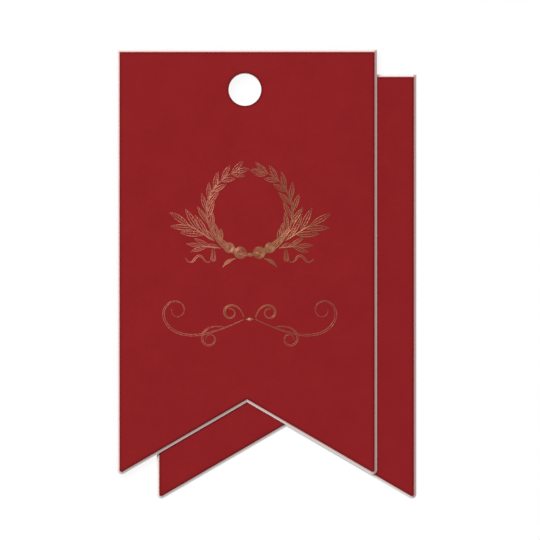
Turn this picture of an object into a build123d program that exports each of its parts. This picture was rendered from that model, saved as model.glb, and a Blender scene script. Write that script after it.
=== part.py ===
"""Gift tag: two swallow-tailed card leaves on one ribbon hole, the front one foil stamped.

Millimetres. +Z comes up out of the printed face, +Y runs to the top edge, +X to the right.
The origin is on the ribbon hole's axis, at the underside of the rear leaf.
"""
from build123d import *
from math import acos, atan2, cos, degrees, pi, radians, sin
import os

# Outline of one leaf, measured at the foot of its bevel
leaf_width = 54.0
leaf_length = 88.9
notch_depth = 15.7
tip_radius = 0.95

# Plies of the card, from the printed side down
face_paper = 0.20
core_board = 0.65
back_paper = 0.15
edge_bevel = 0.75

# Ribbon hole, punched through both leaves
hole_diameter = 6.8
hole_below_top = 8.3
hole_left_of_middle = 0.45

# Rear leaf, set off to the right and down, with an ear that reaches back to the hole
rear_right = 8.2
rear_down = 5.1
ear_rim = 3.0
ear_fillet = 2.0
leaf_clearance = 0.05

# Foil stamping
foil_height = 0.04
print_gap = 0.15
art_right_of_middle = 0.56
wreath_below_top = 33.8
scroll_below_top = 56.0

# Wreath: two branches that rise from the bow round one ring
ring_radius = 8.9
stem_width = 0.36
branch_end_angle = 163.5
branch_blade_width = 0.86
branch_blade_end_angle = 154.5
end_blade_length = 2.7
end_blade_lean_angle = 10.0
inner_blade_count = 7
inner_low_blade_length = 4.2
inner_high_blade_length = 3.0
inner_blade_start_angle = 45.0
inner_blade_lean_angle = 33.0
outer_blade_count = 6
outer_low_blade_length = 4.9
outer_high_blade_length = 3.3
outer_blade_start_angle = 74.0
outer_blade_lean_angle = -18.0

# Side sprays, outside the foot of each branch
spray_ring_angle = 50.5
spray_off_ring = 0.52
spray_heading_angle = 32.0
spray_stem_length = 6.8
spray_bare_length = 0.8
spray_blade_length = 5.2
spray_blade_width = 1.06
spray_blade_count = 5
spray_blade_lean_angle = 29.0

# Lower sprays, below the side sprays
lower_spray_ring_angle = 38.8
lower_spray_off_ring = 0.63
lower_spray_heading_angle = 6.0
lower_spray_stem_length = 4.1
lower_spray_bare_length = 1.7
lower_spray_blade_length = 3.7
lower_spray_blade_width = 0.72
lower_spray_blade_count = 3
lower_spray_blade_lean_angle = 24.0

# Ribbon bow on the foot of the wreath: a knot between two loops, with two tails below them
bow_inside_ring = 0.10
knot_radius = 0.38
ribbon_foot_radius = 0.30
eye_foot_radius = 0.12
loop_heading_angle = 12.0
loop_neck_length = 0.15
loop_end_radius = 1.30
loop_band_width = 0.68
tail_leave_angle = -50.0
tail_length = 3.3
tail_swell_width = 0.55
tail_heading_angle = -10.0
tail_bend_angle = -48.0

# Wraps of ribbon, from the loops to the feet of the branches
wrap_heading_angle = 24.4
wrap_neck_length = 0.45
wrap_end_radius = 1.10
wrap_band_width = 0.60

# Falls of ribbon below the stems of the lower sprays, and the thin streamers that wave from them
fall_along_stem = 1.55
fall_below_stem = 0.17
fall_heading_angle = -88.0
fall_neck_length = 1.45
fall_end_radius = 0.56
fall_band_width = 0.38
streamer_leave_angle = -44.0
streamer_length = 6.6
streamer_swell_width = 0.28
streamer_swing_angle = 56.0
streamer_wave_count = 1.4
streamer_lead_angle = 36.0

# Pen strokes: width at the ends and steps along each stroke
hair_width = 0.14
pen_steps = 36

# Scroll below the wreath: a long stroke that ends in a curl, and two smaller curls
lozenge_length = 1.8
lozenge_width = 0.8
long_curl_length = 31.0
long_curl_swell_width = 0.34
long_curl_heading_angle = -26.0
long_curl_rise_angle = 30.0
long_curl_turn_angle = 470.0
long_curl_exponent = 3.4
low_curl_length = 13.5
low_curl_swell_width = 0.26
low_curl_out = 5.2
low_curl_drop = 1.62
low_curl_heading_angle = 8.0
low_curl_turn_angle = -470.0
low_curl_exponent = 1.9
top_curl_length = 11.5
top_curl_swell_width = 0.24
top_curl_height = 0.35
top_curl_heading_angle = 72.0
top_curl_turn_angle = -460.0
top_curl_exponent = 1.7

# Sizes that follow from those above
leaf_thickness = face_paper + core_board + back_paper
hole_radius = hole_diameter / 2
front_middle = hole_left_of_middle
front_top = hole_below_top
front_base = leaf_thickness + leaf_clearance
rear_middle = front_middle + rear_right
rear_top = front_top - rear_down
foil_base = front_base + leaf_thickness
art_x = front_middle + art_right_of_middle
bow_drop = ring_radius - bow_inside_ring
wreath_plane = Plane((art_x, front_top - wreath_below_top, foil_base))
scroll_plane = Plane((art_x, front_top - scroll_below_top, foil_base))


def toward(heading):
    """The unit step along a heading in degrees."""
    return Vector(cos(radians(heading)), sin(radians(heading)))


def save(piece, label):
    """Names a finished piece and writes its STEP file."""
    piece.part.label = label
    export_step(piece.part, f"parts/{label}.step")


def leaf_outline(middle, top):
    """The swallow-tailed outline of one leaf, its two tips rounded."""
    half = leaf_width / 2
    tips = top - leaf_length
    with BuildSketch() as outline:
        with BuildLine():
            Polyline(
                (middle - half, top),
                (middle + half, top),
                (middle + half, tips),
                (middle, tips + notch_depth),
                (middle - half, tips),
                close=True,
            )
        make_face()
        fillet(outline.vertices().group_by(Axis.Y)[0], radius=tip_radius)
    return outline.sketch


def rear_outline():
    """The rear leaf's outline, with the round ear that carries its hole."""
    plain = leaf_outline(rear_middle, rear_top)
    with BuildSketch() as outline:
        add(plain)
        Circle(hole_radius + ear_rim)
        beside_ear = outline.vertices().group_by(Axis.Y)[-1].sort_by_distance((0, rear_top))[:2]
        fillet(beside_ear, radius=ear_fillet)
    return outline.sketch


def ply(label, outline, base, low, high):
    """One ply: the bevelled leaf between two heights above its underside, with its hole."""
    with BuildPart() as sheet:
        with BuildSketch(Plane.XY.offset(base)):
            add(outline)
        extrude(amount=leaf_thickness)
        chamfer(sheet.faces().sort_by(Axis.Z)[-1].edges(), length=edge_bevel)
        split(bisect_by=Plane.XY.offset(base + low), keep=Keep.TOP)
        split(bisect_by=Plane.XY.offset(base + high), keep=Keep.BOTTOM)
        with Locations((0, 0, base)):
            Hole(radius=hole_radius)
    save(sheet, label)


def draw_blade(foot, heading, length, width):
    """Adds a leaf blade to the sketch in hand: two arcs from its foot to its tip."""
    along = toward(heading)
    across = toward(heading + 90)
    tip = foot + along * length
    middle = foot + along * (length / 2)
    with BuildLine() as rim:
        ThreePointArc(foot, middle + across * (width / 2), tip)
        ThreePointArc(tip, middle - across * (width / 2), foot)
    make_face(rim.edges())


def draw_drop(foot, heading, neck, foot_radius, end_radius, mode=Mode.ADD):
    """Adds a drop to the sketch in hand: a small round at its foot, a large one beyond its neck."""
    along = toward(heading)
    low = foot + along * foot_radius
    high = foot + along * (neck + end_radius)
    spread = degrees(acos((foot_radius - end_radius) / (neck + end_radius - foot_radius)))
    left = toward(heading + spread)
    right = toward(heading - spread)
    with BuildLine() as rim:
        Line(low + left * foot_radius, high + left * end_radius)
        ThreePointArc(high + left * end_radius, high + along * end_radius, high + right * end_radius)
        Line(high + right * end_radius, low + right * foot_radius)
        ThreePointArc(low + right * foot_radius, foot, low + left * foot_radius)
    make_face(rim.edges(), mode=mode)


def draw_ribbon_loop(foot, heading, neck, end_radius, band_width):
    """Adds a loop of ribbon to the sketch in hand: a drop, with a smaller drop for its eye."""
    draw_drop(foot, heading, neck, ribbon_foot_radius, end_radius)
    eye_foot = foot + toward(heading) * (2 * ribbon_foot_radius)
    eye_neck = neck + band_width - 2 * ribbon_foot_radius
    draw_drop(eye_foot, heading, eye_neck, eye_foot_radius, end_radius - band_width, Mode.SUBTRACT)


def draw_stem(foot, heading, length):
    """Adds a straight stem to the sketch in hand."""
    with Locations(foot + toward(heading) * (length / 2)):
        Rectangle(length, stem_width, rotation=heading)


def draw_stroke(start, heading, length, swell):
    """Adds a pen stroke to the sketch in hand: thickest half way, turning as heading(share) says."""
    step = length / pen_steps
    spot = start
    left = []
    right = []
    for count in range(pen_steps + 1):
        share = count / pen_steps
        half_width = (hair_width + swell * sin(pi * share) ** 2) / 2
        side = toward(heading(share) + 90) * half_width
        left.append(spot + side)
        right.append(spot - side)
        spot = spot + toward(heading(share + 1 / (2 * pen_steps))) * step
    right.reverse()
    with BuildLine() as rim:
        Spline(left)
        Line(left[-1], right[0])
        Spline(right)
        Line(right[-1], left[0])
    make_face(rim.edges())


def on_ring(angle, radius):
    """A point at an angle from the foot of the wreath, going up its right side."""
    return Vector(radius * sin(radians(angle)), -radius * cos(radians(angle)))


def draw_branch():
    """The right branch: its curved stem, with leaves inside and outside it and one at its end."""
    half = stem_width / 2
    wrap = wrap_foot()
    start_angle = degrees(atan2(wrap.X, -wrap.Y) + print_gap / ring_radius)
    upward = (start_angle, (start_angle + branch_end_angle) / 2, branch_end_angle)
    outer = [on_ring(angle, ring_radius + half) for angle in upward]
    inner = [on_ring(angle, ring_radius - half) for angle in reversed(upward)]
    with BuildLine() as rim:
        ThreePointArc(*outer)
        Line(outer[-1], inner[0])
        ThreePointArc(*inner)
        Line(inner[-1], outer[0])
    make_face(rim.edges())
    rows = (
        (
            inner_blade_count,
            inner_blade_start_angle,
            inner_blade_lean_angle,
            inner_low_blade_length,
            inner_high_blade_length,
        ),
        (
            outer_blade_count,
            outer_blade_start_angle,
            outer_blade_lean_angle,
            outer_low_blade_length,
            outer_high_blade_length,
        ),
    )
    for blade_count, first_angle, lean, low_length, high_length in rows:
        for count in range(blade_count):
            angle = first_angle + (branch_blade_end_angle - first_angle) * count / (blade_count - 1)
            share = (angle - start_angle) / (branch_end_angle - start_angle)
            length = low_length * (1 - share) + high_length * share
            draw_blade(on_ring(angle, ring_radius), angle + lean, length, branch_blade_width)
    end_angle = branch_end_angle - degrees(stem_width / ring_radius)
    end = on_ring(end_angle, ring_radius)
    draw_blade(end, end_angle + end_blade_lean_angle, end_blade_length, branch_blade_width)


def draw_spray(foot, heading, stem, bare, blade, blade_width, blade_count, lean):
    """A straight sprig, bare near its foot, with leaves to either side and one at its end."""
    draw_stem(foot, heading, stem)
    for count in range(blade_count):
        place = foot + toward(heading) * (bare + (stem - bare) * (count + 1 / 2) / blade_count)
        turn = lean * (-1) ** count if count < blade_count - 1 else 0
        draw_blade(place, heading + turn, blade, blade_width)


def draw_side_spray():
    draw_spray(
        on_ring(spray_ring_angle, ring_radius + spray_off_ring),
        spray_heading_angle,
        spray_stem_length,
        spray_bare_length,
        spray_blade_length,
        spray_blade_width,
        spray_blade_count,
        spray_blade_lean_angle,
    )


def draw_lower_spray():
    draw_spray(
        lower_spray_foot(),
        lower_spray_heading_angle,
        lower_spray_stem_length,
        lower_spray_bare_length,
        lower_spray_blade_length,
        lower_spray_blade_width,
        lower_spray_blade_count,
        lower_spray_blade_lean_angle,
    )


def loop_foot():
    """The foot of the right loop, beside the knot."""
    return Vector(0, -bow_drop) + toward(loop_heading_angle) * (knot_radius + print_gap)


def loop_end():
    """The middle of the right loop's round end."""
    return loop_foot() + toward(loop_heading_angle) * (loop_neck_length + loop_end_radius)


def wrap_foot():
    """The foot of the right wrap, which lies beyond the loop with its round end against it."""
    wrap_reach = 2 * wrap_end_radius + wrap_neck_length
    return loop_end() + toward(wrap_heading_angle) * (loop_end_radius + print_gap + wrap_reach)


def lower_spray_foot():
    return on_ring(lower_spray_ring_angle, ring_radius + lower_spray_off_ring)


def fall_foot():
    """The foot of the right fall, below the stem of the lower spray."""
    place = lower_spray_foot() + toward(lower_spray_heading_angle) * fall_along_stem
    return place - Vector(0, stem_width / 2 + fall_below_stem)


def draw_bow_loop():
    draw_ribbon_loop(
        loop_foot(), loop_heading_angle, loop_neck_length, loop_end_radius, loop_band_width
    )


def draw_wrap():
    back_angle = wrap_heading_angle + 180
    draw_ribbon_loop(wrap_foot(), back_angle, wrap_neck_length, wrap_end_radius, wrap_band_width)


def draw_fall():
    draw_ribbon_loop(
        fall_foot(), fall_heading_angle, fall_neck_length, fall_end_radius, fall_band_width
    )


def draw_bow_tail():
    draw_stroke(
        loop_end() + toward(tail_leave_angle) * (loop_end_radius + print_gap + hair_width),
        lambda share: tail_heading_angle + tail_bend_angle * share,
        tail_length,
        tail_swell_width,
    )


def draw_streamer():
    fall_end = fall_foot() + toward(fall_heading_angle) * (fall_neck_length + fall_end_radius)
    wave = 2 * pi * streamer_wave_count
    lead = radians(streamer_lead_angle)
    draw_stroke(
        fall_end + toward(streamer_leave_angle) * (fall_end_radius + print_gap + hair_width),
        lambda share: streamer_swing_angle * sin(wave * share - lead),
        streamer_length,
        streamer_swell_width,
    )


def draw_knot():
    with Locations((0, -bow_drop)):
        Circle(knot_radius)


def draw_scroll():
    """The right scroll: one long stroke that ends in a curl, and a curl below and above it."""
    inside = lozenge_length / 2 + print_gap + hair_width
    draw_stroke(
        Vector(inside, 0),
        lambda share: (
            long_curl_heading_angle
            + long_curl_rise_angle * share
            + long_curl_turn_angle * share**long_curl_exponent
        ),
        long_curl_length,
        long_curl_swell_width,
    )
    draw_stroke(
        Vector(low_curl_out, -low_curl_drop),
        lambda share: low_curl_heading_angle + low_curl_turn_angle * share**low_curl_exponent,
        low_curl_length,
        low_curl_swell_width,
    )
    draw_stroke(
        Vector(inside, top_curl_height),
        lambda share: top_curl_heading_angle + top_curl_turn_angle * share**top_curl_exponent,
        top_curl_length,
        top_curl_swell_width,
    )


def draw_lozenge():
    draw_blade(Vector(-lozenge_length / 2, 0), 0, lozenge_length, lozenge_width)


def stamp(label, plane, draw, mirrored=False):
    """One island of foil on the front face, drawn for the right side and mirrored for the left."""
    with BuildPart() as foil:
        with BuildSketch(plane):
            draw()
        extrude(amount=foil_height)
        if mirrored:
            mirror(about=Plane.YZ.offset(art_x), mode=Mode.REPLACE)
    save(foil, label)


os.makedirs("parts", exist_ok=True)

# Card plies of both leaves
leaves = (
    ("rear", rear_outline(), 0),
    ("front", leaf_outline(front_middle, front_top), front_base),
)
for leaf, outline, base in leaves:
    ply(f"{leaf}_back_paper", outline, base, 0, back_paper)
    ply(f"{leaf}_core_board", outline, base, back_paper, back_paper + core_board)
    ply(f"{leaf}_face_paper", outline, base, back_paper + core_board, leaf_thickness)

# Foil islands that come in a left and a right
paired = (
    ("branch_foil", wreath_plane, draw_branch),
    ("side_spray_foil", wreath_plane, draw_side_spray),
    ("lower_spray_foil", wreath_plane, draw_lower_spray),
    ("bow_loop_foil", wreath_plane, draw_bow_loop),
    ("bow_tail_foil", wreath_plane, draw_bow_tail),
    ("stem_wrap_foil", wreath_plane, draw_wrap),
    ("ribbon_fall_foil", wreath_plane, draw_fall),
    ("streamer_foil", wreath_plane, draw_streamer),
    ("scroll_foil", scroll_plane, draw_scroll),
)
for name, plane, draw in paired:
    stamp(f"left_{name}", plane, draw, mirrored=True)
    stamp(f"right_{name}", plane, draw)

# Foil islands on the ornament's own middle
stamp("bow_knot_foil", wreath_plane, draw_knot)
stamp("scroll_lozenge_foil", scroll_plane, draw_lozenge)
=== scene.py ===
"""Gift tag: a foil-stamped swallow-tailed card leaf over a plain one, lying on a white table.

All sizes are metres in the solid model's frame; the properties' defaults are given in millimetres.
"""
from math import acos, atan, cos, pi, radians, sin, sqrt

import bmesh
import bpy
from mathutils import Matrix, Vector


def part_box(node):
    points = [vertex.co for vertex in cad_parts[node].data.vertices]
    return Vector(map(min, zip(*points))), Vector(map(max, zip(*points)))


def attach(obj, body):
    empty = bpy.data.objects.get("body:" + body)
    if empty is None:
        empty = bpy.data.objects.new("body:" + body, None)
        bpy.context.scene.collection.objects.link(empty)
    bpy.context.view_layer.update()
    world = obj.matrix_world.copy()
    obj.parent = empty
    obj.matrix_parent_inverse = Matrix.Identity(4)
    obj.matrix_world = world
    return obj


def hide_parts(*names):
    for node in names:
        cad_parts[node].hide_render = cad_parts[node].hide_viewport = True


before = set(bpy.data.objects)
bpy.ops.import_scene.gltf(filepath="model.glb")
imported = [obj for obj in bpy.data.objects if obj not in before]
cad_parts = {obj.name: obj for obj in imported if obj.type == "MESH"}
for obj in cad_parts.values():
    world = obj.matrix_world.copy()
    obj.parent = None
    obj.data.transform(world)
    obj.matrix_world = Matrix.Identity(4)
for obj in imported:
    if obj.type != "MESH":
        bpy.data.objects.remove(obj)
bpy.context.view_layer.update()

bl_info = {
    "name": "Gift tag",
    "version": (1, 0, 0),
    "blender": (4, 5, 0),
    "location": "3D View > Sidebar > Gift tag",
    "description": "Dresses a two-leaf gift tag with card finishes, a stamped foil ornament and a table",
    "category": "Object",
}

# The solid model's box, and the places on it that the ornament starts from
MM = 0.001
KNOT_LOW, KNOT_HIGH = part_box("bow_knot_foil")
KNOT_CENTRE = (KNOT_LOW + KNOT_HIGH) / 2
LOZENGE_LOW, LOZENGE_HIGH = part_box("scroll_lozenge_foil")
SCROLL_CENTRE = (LOZENGE_LOW + LOZENGE_HIGH) / 2
FOIL_BASE = KNOT_LOW.z
FOIL_HEIGHT = KNOT_HIGH.z - KNOT_LOW.z
SIDES = (("left", -1), ("right", 1))

# Shares of the foil's height by which each further stroke, leaf or row lies lower than the last
STROKE_STEP = 0.06
LEAF_STEP = 0.02
ROW_STEP = 0.006

# The first layer of strokes that lies below all leaves
BELOW_LEAVES = 7.5


def length_property(name, description, default_mm):
    """A size, given in millimetres and kept in metres."""
    return bpy.props.FloatProperty(
        name=name, description=description, default=default_mm * MM, precision=5, unit="LENGTH"
    )


def angle_property(name, description, default_degrees):
    """An angle, given in degrees and kept in radians."""
    return bpy.props.FloatProperty(
        name=name, description=description, default=radians(default_degrees), unit="ROTATION"
    )


def share_property(name, description, default):
    """A share that runs from nothing to all."""
    return bpy.props.FloatProperty(
        name=name, description=description, default=default, min=0, max=1, subtype="FACTOR"
    )


def number_property(name, description, default):
    """A plain number."""
    return bpy.props.FloatProperty(name=name, description=description, default=default)


def count_property(name, description, default):
    """A whole number of like things."""
    return bpy.props.IntProperty(name=name, description=description, default=default, min=1)


def colour_property(name, description, default):
    """A linear colour."""
    return bpy.props.FloatVectorProperty(
        name=name, description=description, default=default, size=3, min=0, max=1, subtype="COLOR"
    )


class CardLook(bpy.types.PropertyGroup):
    """Card"""

    red_deep: colour_property("Deep red", "Darker patches of the paper", (0.257, 0.0108, 0.0132))
    red_clear: colour_property("Clear red", "Lighter patches of the paper", (0.285, 0.0136, 0.0164))
    core_white: colour_property("Core white", "Board in the middle of the card", (0.960, 0.935, 0.910))
    core_shade: colour_property("Core shade", "Darker layers of the board", (0.870, 0.850, 0.820))
    # Stain colour of the board, also used for the painted shade at its right edges
    core_stain: colour_property("Core stain", "Board with red drawn over it", (0.680, 0.260, 0.245))
    mottle_size: length_property("Mottle", "Width of the soft patches in the red", 6.0)
    grain_size: length_property("Grain", "Width of the paper's surface grain", 0.30)
    fibre_length: length_property("Fibres", "Length of the fibres that show in the paper", 1.3)
    grain_depth: length_property("Grain depth", "Height of the paper's surface grain", 0.013)
    layer_height: length_property("Layers", "Height of the layers in the cut board", 0.11)
    front_stain: length_property("Front stain", "How far red is drawn down over the front board", 0.42)
    rear_stain: length_property("Rear stain", "How far red is drawn down over the rear board", 0.30)
    # Painted shade: red drawn deeper down the right edges, which face away from the lamp
    right_shade_depth: length_property("Right stain", "How far it is drawn down at a right edge", 1.05)
    paper_rim: length_property("Paper rim", "Leaf's outline to the lower rim of its face paper", 0.55)
    # A band along each cut: pressed down in the bump, and painted darker as shade of the cut edge
    edge_band_width: length_property("Crushed edge", "Band along each cut that the die has pressed", 0.80)
    edge_shade_share: share_property("Crush", "How much darker the pressed band is", 0.46)
    paper_rough: share_property("Paper roughness", "Least roughness of the paper", 0.78)
    board_rough: share_property("Board roughness", "Least roughness of the cut board", 0.86)
    shine: share_property("Shine", "How far paper and board mirror the light", 0.10)
    leaf_length: length_property("Leaf length", "Top edge to the line of the sharp tips", 88.9)
    notch_depth: length_property("Notch depth", "Line of the sharp tips to the notch's corner", 15.7)
    hole_radius: length_property("Hole radius", "Radius of the ribbon hole", 3.4)
    ear_radius: length_property("Ear radius", "Radius of the rear leaf's ear round the hole", 6.4)


class FoilLook(bpy.types.PropertyGroup):
    """Foil"""

    # Lit and shaded copies of one foil colour: rose is painted light, olive is painted shade
    rose: colour_property("Rose bronze", "Foil that catches the light", (0.430, 0.170, 0.110))
    olive: colour_property("Olive bronze", "Foil that turns away from the light", (0.265, 0.124, 0.063))
    bare: colour_property("Bare paper", "Paper where the foil has not taken", (0.270, 0.0140, 0.0165))
    drift_size: length_property("Colour drift", "Width of the slow changes in the foil's colour", 8.0)
    # Painted shade: the foil turns from lit rose to shaded olive to the right, downwards and near the
    # knot
    shade_run_right: length_property("Sweep right", "Run to the right that turns rose to olive", 20)
    shade_run_down: length_property("Sweep down", "Run downwards that turns rose to olive", 60)
    bow_reach: length_property("Bow reach", "How far from its knot the bow is shaded", 12)
    bow_shade: share_property("Bow shade", "How far the foil turns to olive at the knot", 0.35)
    flake_size: length_property("Flake", "Width of the fine breaks in the foil", 0.20)
    worn_from: length_property("Worn from", "Knot to where the foil starts to break more", 7)
    worn_to: length_property("Worn to", "Knot to where the foil is broken most", 19)
    worn_share: share_property("Wear", "How much more the foil is broken there", 0.20)
    crinkle_depth: length_property("Crinkle", "Height of the grain pressed through the foil", 0.006)
    roughness: share_property("Roughness", "Roughness of unbroken foil", 0.33)
    hair_width: length_property("Hairline", "Width of a thin line at its ends", 0.05)
    outline_width: length_property("Leaf outline", "Greatest width of a leaf's outline", 0.15)
    rib_width: length_property("Leaf rib", "Greatest width of a leaf's midrib", 0.13)
    hatch_width: length_property("Hatching", "Greatest width of a leaf's shading lines", 0.070)
    hatch_count: count_property("Hatch lines", "Shading lines on each half of a branch's leaf", 11)
    leaf_length: length_property("Pattern length", "Length of the leaf that all are scaled from", 5.0)
    leaf_width: length_property("Pattern width", "Width of the leaf that all are scaled from", 0.92)
    leaf_turn: angle_property("Leaf turn", "Greatest turn of a leaf out of its row", 4.0)
    leaf_growth: share_property("Leaf growth", "Greatest change in a leaf's length", 0.08)


class BranchSizes(bpy.types.PropertyGroup):
    """Wreath branches"""

    ring_radius: length_property("Ring radius", "Radius of the ring that both branches follow", 8.9)
    knot_inside: length_property("Knot inside", "How far the knot lies inside the ring's foot", 0.10)
    stem_width: length_property("Stem width", "Greatest width of a stem", 0.36)
    groove_line: length_property("Groove line", "Greatest width of the two lines of a stem", 0.13)
    start: angle_property("Start", "Turn from the ring's foot to a branch's foot", 41.2)
    end: angle_property("End", "Turn from the ring's foot to a branch's end", 163.5)
    leaf_width: length_property("Leaf width", "Width of a branch's leaves", 0.86)
    leaf_end: angle_property("Last leaves", "Turn from the ring's foot to the last leaves", 154.5)
    inner_count: count_property("Inner leaves", "Leaves on the inside of a branch", 7)
    inner_start: angle_property("First inner leaf", "Turn from the ring's foot to it", 45)
    inner_lean: angle_property("Inner lean", "Turn of the inner leaves into the ring", 33)
    inner_low: length_property("Inner low length", "Length of an inner leaf at the branch's foot", 4.2)
    inner_high: length_property("Inner high length", "Length of an inner leaf at the branch's end", 3.0)
    outer_count: count_property("Outer leaves", "Leaves on the outside of a branch", 6)
    outer_start: angle_property("First outer leaf", "Turn from the ring's foot to it", 74)
    outer_lean: angle_property("Outer lean", "Turn of the outer leaves into the ring", -18)
    outer_low: length_property("Outer low length", "Length of an outer leaf at the branch's foot", 4.9)
    outer_high: length_property("Outer high length", "Length of an outer leaf at the branch's end", 3.3)
    foot_length: length_property("Foot leaf length", "Length of the leaf at the branch's foot", 3.3)
    foot_lean: angle_property("Foot leaf lean", "Turn of the foot leaf into the ring", 48)
    end_length: length_property("End leaf length", "Length of the leaf at the branch's end", 2.7)
    end_lean: angle_property("End leaf lean", "Turn of the end leaf into the ring", 10)
    strand_count: count_property("Strands", "Thin stems bound together by the bow", 5)
    strand_inside: length_property("Strand start", "Knot's middle to where the strands start", 0.25)
    strand_length: length_property("Strand length", "Length of the strands", 9.9)
    strand_heading: angle_property("Strand heading", "Rise of the strands where they start", 6.5)
    strand_bend: angle_property("Strand bend", "Turn of the strands over their length", 57)
    strand_ends: length_property("Strand ends", "Width that the strands cover at their ends", 0.70)
    strand_spread: length_property("Strand spread", "Width that the strands cover half way", 1.60)
    strand_width: length_property("Strand width", "Greatest width of a strand", 0.16)


def spray_sizes(**defaults):
    """The sizes that both kinds of spray have."""
    sizes = (
        ("ring_angle", angle_property, "Place", "Turn from the ring's foot to the spray's foot"),
        ("off_ring", length_property, "Off the ring", "Ring to the spray's foot"),
        ("heading", angle_property, "Heading", "Rise of the spray's stem"),
        ("stem_length", length_property, "Stem length", "Length of the spray's stem"),
        ("bare_length", length_property, "Bare length", "Length of the stem below its leaves"),
        ("leaf_length", length_property, "Leaf length", "Length of its leaves"),
        ("leaf_width", length_property, "Leaf width", "Width of its leaves"),
        ("leaf_count", count_property, "Leaves", "Leaves on a spray, the one at its end too"),
        ("lean", angle_property, "Lean", "Turn of the leaves to either side of the stem"),
        ("hatch_count", count_property, "Hatch lines", "Shading lines on each half of its leaves"),
        ("foot_share", share_property, "Foot leaf", "Size of the leaf at its foot, next to the others"),
    )
    return {key: kind(label, said, defaults[key]) for key, kind, label, said in sizes}


class SideSpraySizes(bpy.types.PropertyGroup):
    """Side sprays"""

    __annotations__ = spray_sizes(
        ring_angle=50.5,
        off_ring=0.52,
        heading=32,
        stem_length=6.8,
        bare_length=0.8,
        leaf_length=5.2,
        leaf_width=1.06,
        leaf_count=5,
        lean=29,
        hatch_count=6,
        foot_share=0.62,
    )


class LowerSpraySizes(bpy.types.PropertyGroup):
    """Lower sprays"""

    __annotations__ = spray_sizes(
        ring_angle=38.8,
        off_ring=0.63,
        heading=6,
        stem_length=4.1,
        bare_length=1.7,
        leaf_length=3.7,
        leaf_width=0.72,
        leaf_count=3,
        lean=24,
        hatch_count=2,
        foot_share=0.62,
    )


class BowSizes(bpy.types.PropertyGroup):
    """Bow"""

    line_width: length_property("Line width", "Greatest width of the ribbon's lines", 0.15)
    end_width: length_property("End width", "Width of a ribbon's free ends", 0.14)
    gap: length_property("Gap", "Bare paper between the ribbon's pieces", 0.15)
    knot_radius: length_property("Knot radius", "Radius of the knot", 0.38)
    foot_radius: length_property("Ribbon foot", "Radius of the ribbon at the foot of a loop", 0.30)
    eye_foot_radius: length_property("Eye foot", "Radius of the eye at its foot", 0.12)
    loop_heading: angle_property("Loop heading", "Rise of a loop from the knot", 12)
    loop_neck: length_property("Loop neck", "Foot of a loop to the round of its end", 0.15)
    loop_end_radius: length_property("Loop end", "Radius of a loop at its far end", 1.30)
    loop_band: length_property("Loop band", "Width of the ribbon round a loop's eye", 0.68)
    wrap_heading: angle_property("Wrap heading", "Rise of a wrap from its loop's end", 24.4)
    wrap_neck: length_property("Wrap neck", "Foot of a wrap to the round of its end", 0.45)
    wrap_end_radius: length_property("Wrap end", "Radius of a wrap at its loop", 1.10)
    wrap_band: length_property("Wrap band", "Width of the ribbon round a wrap's eye", 0.60)
    loop_lines: count_property("Loop lines", "Lines along the ribbon of a loop or wrap", 4)
    creases: count_property("Creases", "Creases across the eye of a loop or wrap", 4)
    tail_leave: angle_property("Tail place", "Heading from a loop's end to its tail", -50)
    tail_length: length_property("Tail length", "Length of a tail", 3.3)
    tail_width: length_property("Tail width", "Greatest width of a tail", 0.69)
    tail_heading: angle_property("Tail heading", "Rise of a tail where it starts", -10)
    tail_bend: angle_property("Tail bend", "Turn of a tail over its length", -48)
    tail_lines: count_property("Tail lines", "Lines along the ribbon of a tail", 3)


class StreamerSizes(bpy.types.PropertyGroup):
    """Falls and streamers"""

    fall_along: length_property("Fall place", "Lower spray's foot along its stem to the fall", 1.55)
    fall_below: length_property("Fall below", "Middle of that stem down to the fall's foot", 0.35)
    fall_heading: angle_property("Fall heading", "Rise of a fall", -88)
    fall_neck: length_property("Fall neck", "Foot of a fall to the round of its end", 1.45)
    fall_end_radius: length_property("Fall end", "Radius of a fall at its lower end", 0.56)
    fall_band: length_property("Fall band", "Width of the ribbon round a fall's eye", 0.38)
    fall_lines: count_property("Fall lines", "Lines along the ribbon of a fall", 2)
    leave: angle_property("Place", "Heading from a fall's end to its streamer", -44)
    length: length_property("Length", "Length along the wave", 6.6)
    width: length_property("Width", "Greatest width of a streamer", 0.42)
    swing: angle_property("Swing", "Greatest slope of the wave", 56)
    waves: number_property("Waves", "Waves along a streamer", 1.4)
    lead: angle_property("Lead", "How late the wave starts", 36)
    line_width: length_property("Line width", "Greatest width of a streamer's lines", 0.12)
    lines: count_property("Lines", "Lines along the ribbon of a streamer", 2)


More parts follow.
